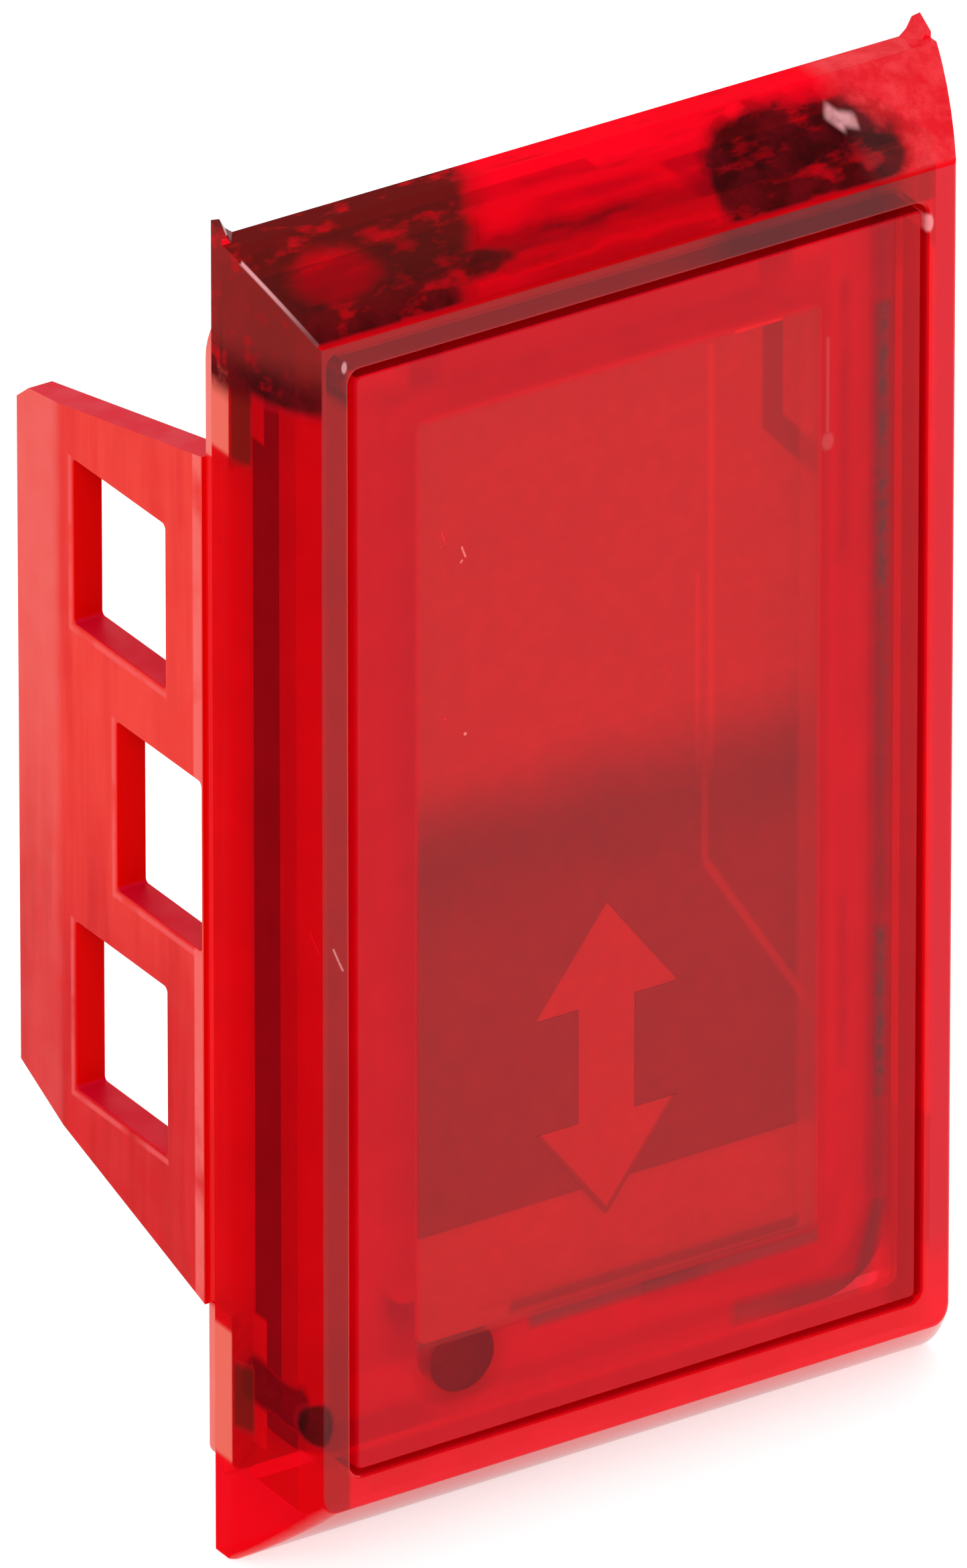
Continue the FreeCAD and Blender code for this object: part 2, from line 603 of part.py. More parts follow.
def make_ramp_slide():
    ramp_z = RIB_TOP_Z - (SLIDE_Y[0] - RIB_RAMP_Y) + RAMP_GAP
    heel_z = RIB_TOP_Z - (SLIDE_HEEL_Y - RIB_RAMP_Y) + RAMP_GAP
    profile = [
        vec(SLIDE_X[0], SLIDE_Y[0], ramp_z),
        vec(SLIDE_X[0], SLIDE_HEEL_Y, heel_z),
        vec(SLIDE_X[0], SLIDE_Y[1], heel_z),
        vec(SLIDE_X[0], SLIDE_Y[1], SLIDE_TOP_Z),
        vec(SLIDE_X[0], SLIDE_Y[0], SLIDE_TOP_Z),
    ]
    body = prism(profile, vec(SLIDE_X[1] - SLIDE_X[0], 0, 0))
    spigot_r = SPRING_R - WIRE_R - SPIGOT_CLEAR
    return body.fuse(rod_z(SPRING_X, SPRING_Y, spigot_r, SLIDE_TOP_Z, SLIDE_TOP_Z + SPIGOT_H))


def make_return_spring():
    low = SLIDE_TOP_Z + WIRE_R
    height = SPRING_TOP_Z - SLIDE_TOP_Z - 2 * WIRE_R
    helix = Part.makeHelix(height / SPRING_TURNS, height, SPRING_R)
    start = Part.Wire(Part.makeCircle(WIRE_R, vec(SPRING_R, 0, 0), vec(0, 1, 0)))
    coil = Part.Wire(helix.Edges).makePipeShell([start], True, True)
    coil.translate(vec(SPRING_X, SPRING_Y, low))
    return coil


# ---------------------------------------------------------------- rear housing

def ear(x_side, z):
    """Fixing ear at one side of a box on the chassis plate."""
    x0 = BOX_HALF_W - BOX_WALL
    x = (x0, BOX_HALF_W + EAR_REACH) if x_side > 0 else (-BOX_HALF_W - EAR_REACH, -x0)
    plate = box(x, (CHASSIS_REAR_Y, CHASSIS_REAR_Y + EAR_T), (z - EAR_HALF_H, z + EAR_HALF_H))
    hole = rod_y(x_side * EAR_SCREW_X, z, SCREW_R, CHASSIS_REAR_Y - OVERRUN, CHASSIS_REAR_Y + EAR_T + OVERRUN)
    return plate.cut(hole)


def strip_places():
    return [POLES[0], POLES[1]]


def strip_slots(z0, z1):
    w = STRIP_W / 2 + STRIP_CLEAR
    y = (STRIP_Y[0] - STRIP_CLEAR, STRIP_Y[1] + STRIP_CLEAR)
    return [box((x - w, x + w), y, (z0, z1)) for x in strip_places()]


def make_rear_housing():
    outer = box((-BOX_HALF_W, BOX_HALF_W), (CHASSIS_REAR_Y, BOX_REAR_Y), (BOX_BOTTOM, BOX_TOP))
    outer = outer.makeFillet(BOX_EDGE_R, front_edges(outer, BOX_REAR_Y))
    half_w = BOX_HALF_W - BOX_WALL
    rear = BOX_REAR_Y - BOX_WALL
    z = (BOX_BOTTOM + BOX_WALL, BOX_TOP - BOX_WALL)
    chamber = box((-half_w, half_w), (CHASSIS_REAR_Y - OVERRUN, rear), z)
    left = SLIDE_X[0] - SLIDE_CLEAR
    right = SLIDE_X[1] + SLIDE_CLEAR
    left_guide = box((left - RIB_T[0], left), (GUIDE_RIB_Y, rear), GUIDE_RIB_Z)
    right_guide = box((right, right + RIB_T[1]), (GUIDE_RIB_Y, rear), GUIDE_RIB_Z)
    shelf = box((left - RIB_T[0], half_w), (SHELF_Y, rear), (SPRING_TOP_Z, SPRING_TOP_Z + SHELF_T))
    ears = [ear(side, housing_ear_z()) for side in (-1, 1)]
    body = outer.cut(chamber).fuse([left_guide, right_guide, shelf] + ears)
    hollow = box((-half_w, half_w), (CHASSIS_REAR_Y - OVERRUN, CHASSIS_REAR_Y + EAR_T), HOLLOW_Z)
    slots = strip_slots(BOX_TOP - 2 * BOX_WALL, BOX_TOP + OVERRUN)
    return body.cut([hollow] + slots).removeSplitter()


def make_housing_screws():
    seat = CHASSIS_REAR_Y + EAR_T
    return group([pan_screw(x, housing_ear_z(), EAR_SCREW_TIP_Y, seat) for x in (-EAR_SCREW_X, EAR_SCREW_X)])


# ---------------------------------------------------------------- snap switch

def make_switch_case():
    shell = box(CASE_X, CASE_Y, CASE_Z)
    inside = [(v[0] + CASE_WALL, v[1] - CASE_WALL) for v in (CASE_X, CASE_Y, CASE_Z)]
    cavity = box((inside[0][0], CASE_X[1] + OVERRUN), inside[1], inside[2])
    z = (LEVER_PIVOT_Z - LUG_HALF_H, LEVER_PIVOT_Z + LUG_HALF_H)
    lugs = [box(x, (LEVER_PIVOT_Y - LEVER_PIN_R * 2, CASE_Y[0] + BITE), z) for x in LUG_PAIRS]
    pin = rod_x(LEVER_PIVOT_Y, LEVER_PIVOT_Z, LEVER_PIN_R, CASE_X[0] - OVERRUN, CASE_X[1] + OVERRUN)
    hole_end = CASE_Y[0] + CASE_WALL + BITE
    hole = rod_y(BUTTON_X, BUTTON_Z, BUTTON_R + RUN_CLEARANCE, CASE_Y[0] - OVERRUN, hole_end)
    z = (CASE_Z[1] - OVERRUN, CASE_Z[1] + OVERRUN)
    common, switched = strip_places()
    exits = [box((common - EXIT_HALF_W, common + EXIT_HALF_W), STRIP_Y, z)]
    exits.append(box((switched - EXIT_HALF_W, CASE_X[1] + OVERRUN), STRIP_Y, z))
    return shell.cut(cavity).fuse(lugs).cut([pin, hole] + exits)


def make_switch_cover():
    """Side cover: a full plate, thickened inwards below the terminals."""
    plate = box((CASE_X[1] + COVER_STEP, CASE_X[1] + COVER_T), CASE_Y, CASE_Z)
    pad = box((CASE_X[1], CASE_X[1] + COVER_STEP), CASE_Y, (CASE_Z[0], COVER_PAD_TOP))
    return plate.fuse(pad).removeSplitter()


def make_switch_button():
    stem = rod_y(BUTTON_X, BUTTON_Z, BUTTON_R, BUTTON_TIP_Y, BUTTON_END_Y)
    front = CASE_Y[0] + CASE_WALL + COLLAR_GAP
    collar = rod_y(BUTTON_X, BUTTON_Z, BUTTON_R + COLLAR_STEP, front, BUTTON_END_Y)
    return stem.fuse(collar).removeSplitter()


def make_switch_lever():
    y = (LEVER_FRONT_Y, LEVER_FRONT_Y + LEVER_T)
    shoulder = LEVER_PIVOT_Z - LEVER_SHOULDER
    plate = box(LEVER_X, y, (LEVER_END_Z, shoulder))
    web = box(LEVER_KNUCKLE_X, y, (shoulder - BITE, LEVER_PIVOT_Z))
    knuckle = rod_x(LEVER_PIVOT_Y, LEVER_PIVOT_Z, KNUCKLE_R, *LEVER_KNUCKLE_X)
    bore = rod_x(LEVER_PIVOT_Y, LEVER_PIVOT_Z, LEVER_PIN_R + RUN_CLEARANCE, LEVER_X[0] - OVERRUN, 0.0)
    return plate.fuse([web, knuckle]).cut(bore).removeSplitter()


def make_lever_pin():
    return rod_x(LEVER_PIVOT_Y, LEVER_PIVOT_Z, LEVER_PIN_R, LUG_PAIRS[0][0], LUG_PAIRS[1][1])


def make_snap_blade():
    """Thin spring strip behind the button, held near the top of the switch."""
    strip = box(BLADE_X, BLADE_Y, BLADE_Z)
    slot = box(BLADE_SLOT_X, (BLADE_Y[0] - OVERRUN, BLADE_Y[1] + OVERRUN), BLADE_SLOT_Z)
    return strip.cut(slot)


def make_contact_rivets():
    return group([rod_y(RIVET_X, RIVET_Z, RIVET_R, *y) for y in (MOVING_RIVET_Y, FIXED_RIVET_Y)])


def make_switch_terminals():
    """Common terminal (left) and switched terminal (right), both leaving at the top."""
    common = box(COMMON_X, STRIP_Y, (COMMON_ARM_Z[0], STRIP_BOTTOM_Z))
    common = common.fuse(box((COMMON_X[0], COMMON_ARM_X), (BLADE_Y[1], COMMON_ARM_Y), COMMON_ARM_Z))
    common = common.fuse(box(COMMON_X, (STRIP_Y[0], COMMON_ARM_Y), COMMON_ARM_Z))
    switched = box(SWITCHED_X, STRIP_Y, (SWITCHED_ARM_Z[0], STRIP_BOTTOM_Z))
    switched = switched.fuse(box(SWITCHED_X, (STRIP_Y[0], SWITCHED_ARM_Y[1]), SWITCHED_ARM_Z))
    switched = switched.fuse(box((SWITCHED_ARM_X, SWITCHED_X[1]), SWITCHED_ARM_Y, SWITCHED_ARM_Z))
    return group([common, switched])


# ---------------------------------------------------------------- board

def make_circuit_board():
    z = (BLOCK_Z[0] + BOARD_INSET, BLOCK_Z[1] - BOARD_INSET)
    board = box((-BOARD_HALF_W, BOARD_HALF_W), BOARD_Y, z)
    return board.cut(board_pin_rods(BOARD_Y[0] - OVERRUN, BOARD_Y[1] + OVERRUN))


def board_pin_rods(y0, y1):
    return [rod_y(x, BOARD_PIN_Z, BOARD_PIN_R, y0, y1) for x in POLES[1:]]


def make_board_pins():
    return group(board_pin_rods(BOARD_Y[0] - BITE, CLAMP_Y[0]))


def make_status_leds():
    def block(size, x, y, z):
        return box((x - size[0], x + size[0]), y, (z - size[1], z + size[1]))

    base_y = (LED_Y[1], BOARD_Y[0])
    return group([block(LED_BASE, x, base_y, z).fuse(block(LED_LENS, x, LED_Y, z)) for x, z in LEDS])


def make_resistors():
    w, t, h = RESISTOR_SIZE
    return group([box((x, x + w), (BOARD_Y[1], BOARD_Y[1] + t), (z, z + h)) for x, z in RESISTORS])


# ---------------------------------------------------------------- terminal block

def make_terminal_block():
    body = box((-BOX_HALF_W, BOX_HALF_W), (CHASSIS_REAR_Y, BOX_REAR_Y), BLOCK_Z)
    body = body.makeFillet(BOX_EDGE_R, front_edges(body, BOX_REAR_Y))
    inner = BOX_HALF_W - SKIRT_WALL
    z = (BLOCK_Z[0] - OVERRUN, BLOCK_Z[1] + OVERRUN)
    recess = box((-inner, inner), (CHASSIS_REAR_Y - OVERRUN, BLOCK_FRONT_Y), z)
    cuts = [recess] + board_pin_rods(BLOCK_FRONT_Y - OVERRUN, CLAMP_Y[0]) + strip_slots(z[0], CLAMP_Z[0])
    for x in POLES:
        cuts += pole_cuts(x)
    ears = [ear(side, block_ear_z()).cut(recess) for side in (-1, 1)]
    return body.cut(cuts).fuse(ears).removeSplitter()


def pole_cuts(x):
    """Clamp chamber, wire entry from above and screw access from behind, for one pole."""
    half = CLAMP_HALF + CAVITY_CLEAR
    y = (CLAMP_Y[0] - CAVITY_CLEAR, CLAMP_Y[1] + CAVITY_CLEAR)
    chamber = box((x - half, x + half), y, (CLAMP_Z[0] - CAVITY_CLEAR, CLAMP_Z[1] + CAVITY_CLEAR))
    entry = rod_z(x, WIRE_Y, WIRE_HOLE_R, CLAMP_Z[1], BLOCK_Z[1] + OVERRUN)
    access_r = TERMINAL_HEAD_R + TERMINAL_HEAD_CLEAR
    return [chamber, entry, rod_y(x, TERMINAL_SCREW_Z, access_r, CLAMP_Y[1], BOX_REAR_Y + OVERRUN)]


def make_block_screws():
    seat = CHASSIS_REAR_Y + EAR_T
    return group([pan_screw(x, block_ear_z(), EAR_SCREW_TIP_Y, seat) for x in (-EAR_SCREW_X, EAR_SCREW_X)])


def make_terminal_clamps():
    clamps = []
    for x in POLES:
        clamp = box((x - CLAMP_HALF, x + CLAMP_HALF), CLAMP_Y, CLAMP_Z)
        y = (WIRE_Y - CAGE_HALF, WIRE_Y + CAGE_HALF)
        wire = box((x - CAGE_HALF, x + CAGE_HALF), y, (CLAMP_Z[0] + CLAMP_FLOOR, CLAMP_Z[1] + OVERRUN))
        thread = rod_y(x, TERMINAL_SCREW_Z, TERMINAL_SCREW_R, WIRE_Y, CLAMP_Y[1] + OVERRUN)
        clamps.append(clamp.cut([wire, thread]))
    return group(clamps)


def make_terminal_screws():
    screws = []
    for x in POLES:
        seat = CLAMP_Y[1] + CAVITY_CLEAR / 2
        shank = rod_y(x, TERMINAL_SCREW_Z, TERMINAL_SCREW_R, WIRE_Y + CAGE_HALF + CAVITY_CLEAR, seat)
        rear = BOX_REAR_Y - TERMINAL_HEAD_SINK
        head = rod_y(x, TERMINAL_SCREW_Z, TERMINAL_HEAD_R, seat, rear)
        z = (TERMINAL_SCREW_Z - TERMINAL_SLOT_HALF, TERMINAL_SCREW_Z + TERMINAL_SLOT_HALF)
        across = (x - TERMINAL_HEAD_R - OVERRUN, x + TERMINAL_HEAD_R + OVERRUN)
        slot = box(across, (rear - TERMINAL_SLOT_DEPTH, rear + OVERRUN), z)
        screws.append(shank.fuse(head).cut(slot))
    return group(screws)


def make_bus_strips():
    w = STRIP_W / 2
    return group([box((x - w, x + w), STRIP_Y, (STRIP_BOTTOM_Z, CLAMP_Z[0])) for x in strip_places()])


PARTS = {
    "bezel": make_bezel,
    "press_pane": make_press_pane,
    "legend_film": make_legend_film,
    "shade_film": make_shade_film,
    "arrow_inlay": make_arrow_inlay,
    "striker_post": make_striker_post,
    "seal_ring": make_seal_ring,
    "skirt_frame": make_skirt_frame,
    "left_wing": make_left_wing,
    "right_wing": make_right_wing,
    "chassis_plate": make_chassis_plate,
    "chassis_screws": make_chassis_screws,
    "hinge_pin": make_hinge_pin,
    "light_guide": make_light_guide,
    "ramp_slide": make_ramp_slide,
    "return_spring": make_return_spring,
    "rear_housing": make_rear_housing,
    "housing_screws": make_housing_screws,
    "switch_case": make_switch_case,
    "switch_cover": make_switch_cover,
    "switch_button": make_switch_button,
    "switch_lever": make_switch_lever,
    "lever_pin": make_lever_pin,
    "snap_blade": make_snap_blade,
    "contact_rivets": make_contact_rivets,
    "switch_terminals": make_switch_terminals,
    "circuit_board": make_circuit_board,
    "board_pins": make_board_pins,
    "status_leds": make_status_leds,
    "resistors": make_resistors,
    "terminal_block": make_terminal_block,
    "block_screws": make_block_screws,
    "terminal_clamps": make_terminal_clamps,
    "terminal_screws": make_terminal_screws,
    "bus_strips": make_bus_strips,
}


def main():
    os.makedirs("parts", exist_ok=True)
    for name, make in PARTS.items():
        shape = make()
        size = shape.BoundBox
        count = len(shape.Solids)
        print(f"{name:18s} solids {count}  valid {shape.isValid()}  volume {shape.Volume:9.2f}  "
              f"x {size.XMin:.2f}..{size.XMax:.2f}  y {size.YMin:.2f}..{size.YMax:.2f}  "
              f"z {size.ZMin:.2f}..{size.ZMax:.2f}")
        shape.exportStep(f"parts/{name}.step")


main()
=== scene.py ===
import json
import math

import bpy
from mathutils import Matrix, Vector


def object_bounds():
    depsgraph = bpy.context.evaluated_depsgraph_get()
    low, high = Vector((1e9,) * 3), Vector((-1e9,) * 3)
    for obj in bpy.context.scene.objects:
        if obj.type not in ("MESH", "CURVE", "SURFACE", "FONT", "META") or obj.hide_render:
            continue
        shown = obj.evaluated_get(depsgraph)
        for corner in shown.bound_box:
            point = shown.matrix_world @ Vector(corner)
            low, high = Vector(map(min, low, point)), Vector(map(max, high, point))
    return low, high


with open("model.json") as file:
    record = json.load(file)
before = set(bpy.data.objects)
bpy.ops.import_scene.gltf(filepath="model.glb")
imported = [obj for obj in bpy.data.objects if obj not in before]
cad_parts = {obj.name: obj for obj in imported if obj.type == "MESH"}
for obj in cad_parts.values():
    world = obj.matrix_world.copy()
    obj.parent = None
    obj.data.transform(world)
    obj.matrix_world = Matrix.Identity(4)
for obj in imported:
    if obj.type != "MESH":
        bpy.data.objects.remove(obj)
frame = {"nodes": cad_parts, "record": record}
CAD_LOW, CAD_HIGH = [list(corner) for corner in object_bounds()]

# The view: azimuth and elevation of the camera, what it aims at, and how much height it takes in.
AZIMUTH = math.radians(-32.97)
ELEVATION = math.radians(27.85)
AIM = Vector((-0.00296, 0.0, 0.00108))
VIEW_HEIGHT = 0.04686
LENS_MM = 850.0
SENSOR_MM = 36.0
CLIP_START_SHARE = 0.2
CLIP_END = 20.0
MAX_BOUNCES = 12
TRANSPARENT_BOUNCES = 32

# The stage, in metres and watts. Every lamp looks at the origin.
FLOOR_GAP = 0.00005
FLOOR_HALF = 3.0
FLOOR_GLOW = 0.62
WORLD_STRENGTH = 0.80
# name: place, width and height, power
LAMPS = {
    "key": ((-0.45, -0.55, 0.60), (0.50, 0.50), 3.2),
    "fill": ((0.55, -0.50, 0.35), (0.40, 0.40), 1.2),
    "back": ((0.1, 0.6, 0.45), (0.5, 0.3), 1.5),
}

MM_PER_M = 1000.0
CLEAR_IOR = 1.46
LEAST_GLOSS = 0.05
# depth of the surface texture of each kind of piece, in metres
FILM_GRAIN = 0.00001
FINE_GRAIN = 0.00002
MOULD_GRAIN = 0.00003
# clip plate windows in millimetres: front and rear in Y, bottom and top in Z
WING_WINDOWS = ((3.2, 8.3, 5.5, 11.0), (1.25, 5.95, -2.5, 3.2), (3.2, 8.3, -10.3, -4.6))


# ---------------------------------------------------------------- node helpers

class Graph:
    """A material's node tree with short calls for adding and joining nodes."""

    def __init__(self, name):
        self.material = bpy.data.materials.new(name)
        self.material.use_nodes = True
        self.tree = self.material.node_tree
        self.tree.nodes.clear()

    def node(self, kind, settings=None, **inputs):
        """New node; settings are its properties, inputs its sockets by name with _ for a space."""
        made = self.tree.nodes.new(kind)
        for key, value in (settings or {}).items():
            setattr(made, key, value)
        for key, value in inputs.items():
            self.put(made.inputs[key.replace("_", " ")], value)
        return made

    def put(self, socket, value):
        """Links value when it is a socket, or sets it as the constant."""
        if isinstance(value, bpy.types.NodeSocket):
            self.tree.links.new(value, socket)
        else:
            socket.default_value = value

    def noise(self, scale, detail=3.0, rough=0.5, stretch=None):
        """Noise over the piece's own space; stretch multiplies that space along X, Y and Z."""
        place = self.node("ShaderNodeTexCoord").outputs["Object"]
        if stretch:
            stretched = self.node("ShaderNodeVectorMath", {"operation": "MULTIPLY"})
            self.put(stretched.inputs[0], place)
            self.put(stretched.inputs[1], stretch)
            place = stretched.outputs[0]
        made = self.node("ShaderNodeTexNoise", Vector=place, Scale=scale, Detail=detail, Roughness=rough)
        return made.outputs["Fac"]

    def ramp(self, fac, low, high, to_low=0.0, to_high=1.0, smooth=True):
        """Value mapped from low..high to to_low..to_high, clamped."""
        kind = "SMOOTHSTEP" if smooth else "LINEAR"
        made = self.node("ShaderNodeMapRange", {"interpolation_type": kind}, Value=fac)
        for key, value in (("From Min", low), ("From Max", high), ("To Min", to_low), ("To Max", to_high)):
            made.inputs[key].default_value = value
        return made.outputs["Result"]

    def math(self, operation, a, b=0.0):
        made = self.node("ShaderNodeMath", {"operation": operation})
        self.put(made.inputs[0], a)
        self.put(made.inputs[1], b)
        return made.outputs[0]

    def times(self, a, b):
        return self.math("MULTIPLY", a, b)

    def plus(self, a, b):
        return self.math("ADD", a, b)

    def minus(self, a, b):
        return self.math("SUBTRACT", a, b)

    def mix(self, fac, a, b):
        """Colour a where fac is 0, colour b where it is 1."""
        made = self.node("ShaderNodeMix", {"data_type": "RGBA"})
        self.put(made.inputs["Factor"], fac)
        for slot, colour in ((6, a), (7, b)):
            self.put(made.inputs[slot], (*colour, 1.0) if isinstance(colour, tuple) else colour)
        return made.outputs[2]

    def drift(self, noise, a, b, start=0.3, end=0.7):
        """Colour that wanders between a and b with the noise."""
        return self.mix(self.ramp(noise, start, end), a, b)

    def coats(self, base, *layers):
        """Base colour with each (mask, colour) laid over what is before it."""
        for mask, colour in layers:
            base = self.mix(mask, base, colour)
        return base

    def shader_mix(self, fac, a, b):
        made = self.node("ShaderNodeMixShader")
        self.put(made.inputs[0], fac)
        self.put(made.inputs[1], a)
        self.put(made.inputs[2], b)
        return made.outputs[0]

    def bump(self, height, strength, distance):
        made = self.node("ShaderNodeBump", Height=height, Strength=strength, Distance=distance)
        return made.outputs["Normal"]

    def skin(self, tone, rough, normal, specular=0.5, metallic=0.0):
        """Opaque surface from a colour, a roughness and a bump, with constant specular level and metallic."""
        made = self.node("ShaderNodeBsdfPrincipled", Roughness=rough, Normal=normal, Metallic=metallic)
        self.put(made.inputs["Base Color"], tone)
        made.inputs["Specular IOR Level"].default_value = specular
        return made.outputs[0]

    def finish(self, shader):
        out = self.node("ShaderNodeOutputMaterial")
        self.put(out.inputs["Surface"], shader)
        return self.material


class Place:
    """Where a surface point lies on its own piece, in millimetres, and which way the surface looks there."""

    def __init__(self, graph):
        self.g = graph
        coords = graph.node("ShaderNodeTexCoord")
        spot = graph.node("ShaderNodeSeparateXYZ", Vector=coords.outputs["Object"])
        look = graph.node("ShaderNodeSeparateXYZ", Vector=coords.outputs["Normal"])
        self.x, self.y, self.z = [graph.times(spot.outputs[axis], MM_PER_M) for axis in "XYZ"]
        self.nx, self.ny, self.nz = [look.outputs[axis] for axis in "XYZ"]

    def above(self, value, edge, soft):
        """1 where value is over edge, 0 below it, blending over the soft width."""
        return self.g.ramp(value, edge - soft / 2, edge + soft / 2)

    def below(self, value, edge, soft):
        """1 where value is under edge, 0 over it, blending over the soft width."""
        return self.g.ramp(value, edge - soft / 2, edge + soft / 2, 1.0, 0.0)

    def within(self, value, low, high, soft):
        return self.g.times(self.above(value, low, soft), self.below(value, high, soft))

    def both(self, *masks):
        """Where every mask holds."""
        made = masks[0]
        for mask in masks[1:]:
            made = self.g.times(made, mask)
        return made

    def either(self, *masks):
        """Where any mask holds."""
        made = masks[0]
        for mask in masks[1:]:
            made = self.g.math("MAXIMUM", made, mask)
        return made

    def strongest(self, *pairs):
        """The highest of the masks after each is scaled by its strength."""
        return self.either(*[self.g.times(mask, strength) for mask, strength in pairs])

    def spot(self, x, z, half_w, half_h, soft=0.3, wobble=0.0):
        """Oval patch in the XZ plane, with an edge that may wander."""
        g = self.g
        dx = g.math("DIVIDE", g.minus(self.x, x), half_w)
        dz = g.math("DIVIDE", g.minus(self.z, z), half_h)
        far = g.math("SQRT", g.plus(g.times(dx, dx), g.times(dz, dz)))
        if wobble:
            far = g.plus(far, g.times(g.minus(g.noise(900.0, 4.0), 0.5), wobble))
        return self.below(far, 1.0, soft)

    def line(self, start, end, half_width, soft=0.06):
        """Straight mark between two XZ points."""
        g = self.g
        run, rise = end[0] - start[0], end[1] - start[1]
        length = math.hypot(run, rise)
        dx = g.minus(self.x, start[0])
        dz = g.minus(self.z, start[1])
        along = g.plus(g.times(dx, run / length), g.times(dz, rise / length))
        across = g.plus(g.times(dx, -rise / length), g.times(dz, run / length))
        near = self.below(g.math("ABSOLUTE", across), half_width, soft)
        return g.times(near, self.within(along, 0.0, length, soft))


# ---------------------------------------------------------------- clear red mouldings

def clear_red(g, tint, body, share, gloss):
    """Clear red plastic: what is behind shows tinted, some colour stays in the wall, and the skin reflects.

    tint is what one crossing of the surface lets through, body the colour the wall scatters, share how
    much of it does, and gloss scales the Fresnel reflection of the skin.
    """
    through = g.node("ShaderNodeBsdfTransparent", Color=tint).outputs[0]
    wall = g.node("ShaderNodeBsdfPrincipled", Roughness=0.4)
    wall.inputs["Specular IOR Level"].default_value = 0.0
    g.put(wall.inputs["Base Color"], body)
    inner = g.shader_mix(share, through, wall.outputs[0])
    ripple = g.bump(g.noise(1500.0, 2.0), 0.06, FINE_GRAIN)
    polish = g.ramp(g.noise(2600.0, 3.0), 0.35, 0.75, 0.05, 0.11)
    shine = g.node("ShaderNodeBsdfGlossy", Normal=ripple, Roughness=polish)
    fresnel = g.node("ShaderNodeFresnel", IOR=CLEAR_IOR, Normal=ripple).outputs[0]
    inside = g.node("ShaderNodeNewGeometry").outputs["Backfacing"]
    outside = g.times(fresnel, g.minus(1.0, inside))
    return g.finish(g.shader_mix(g.times(outside, gloss), inner, shine.outputs[0]))


def cover_painted_shade(g, p, flank):
    """Painted shade on the cover: all of it, then the left part of the upper flank and the left corner.

    The upper flank is painted dark except in a bright upper middle; a painted paler patch lightens its left
    part, and small painted glints break the shade up.
    """
    wander = g.times(g.minus(g.noise(420.0, 3.0), 0.5), 2.4)
    x_wavy = g.plus(p.x, wander)
    z_wavy = g.plus(p.z, g.times(wander, 0.4))
    streaks = g.noise(800.0, 3.0, 0.6, (0.16, 1.0, 1.0))

    slant = g.times(g.minus(p.z, 21.0), -0.9)
    left_part = p.either(p.below(g.plus(x_wavy, slant), -4.7, 1.8), p.spot(-6.8, 20.45, 3.0, 0.42, 0.5, 0.5))
    glow = p.spot(-9.7, 21.05, 1.3, 0.5, 0.9, 0.8)
    left_part = g.times(left_part, g.minus(1.0, g.times(glow, 0.35)))
    right_part = p.either(
        p.spot(6.4, 20.8, 3.3, 1.15, 0.35, 0.5),
        p.spot(4.9, 20.35, 1.9, 1.1, 0.4, 0.5),
        p.spot(8.0, 20.3, 1.9, 0.75, 0.4, 0.5),
    )
    low_strip = p.both(
        p.either(p.within(z_wavy, 20.1, 20.85, 0.45), g.times(p.below(z_wavy, 20.1, 0.4), 0.55)),
        p.below(x_wavy, 9.2, 1.0),
        g.ramp(streaks, 0.40, 0.62, 0.55, 0.97),
    )
    middle = g.times(p.within(x_wavy, -5.4, 5.4, 1.2), g.ramp(streaks, 0.52, 0.66, 0.0, 0.6))

    left_corner = p.both(p.below(p.nx, -0.2, 0.3), p.below(p.x, 0.0, 1.0), p.above(z_wavy, 17.3, 0.9))
    dark = p.either(p.both(flank, p.either(left_part, right_part, low_strip, middle)), left_corner)
    glints = g.ramp(g.noise(1500.0, 3.0, 0.6, (0.5, 1.0, 1.0)), 0.52, 0.75, 0.0, 0.3)
    return g.times(dark, g.minus(1.0, glints)), left_part, left_corner


def cover_highlights_and_scratches(g, p):
    """Painted highlights and scratches: a painted highlight line on the upper left ridge, painted glints at
    two groove corners and on the upper right flank, and small scratches.
    """
    ridge = g.times(p.line((-12.35, 21.75), (-11.25, 19.75), 0.06), g.ramp(p.z, 19.8, 21.4, 0.12, 0.8))
    facet = p.either(
        p.line((7.95, 21.42), (8.35, 21.05), 0.20, 0.2),
        p.line((8.05, 21.25), (8.75, 21.05), 0.16, 0.2),
    )
    glints_and_scratches = p.either(
        p.spot(10.30, 17.9, 0.15, 0.30, 0.6),
        p.spot(-10.42, 18.85, 0.10, 0.2, 0.6),
        g.times(facet, g.ramp(g.noise(1300.0, 3.0), 0.35, 0.6, 0.5, 1.0)),
        p.line((-10.85, -0.45), (-10.65, -0.95), 0.03),
        p.line((-10.65, -0.95), (-10.50, -1.30), 0.03),
    )
    return p.either(ridge, g.times(glints_and_scratches, 0.75))


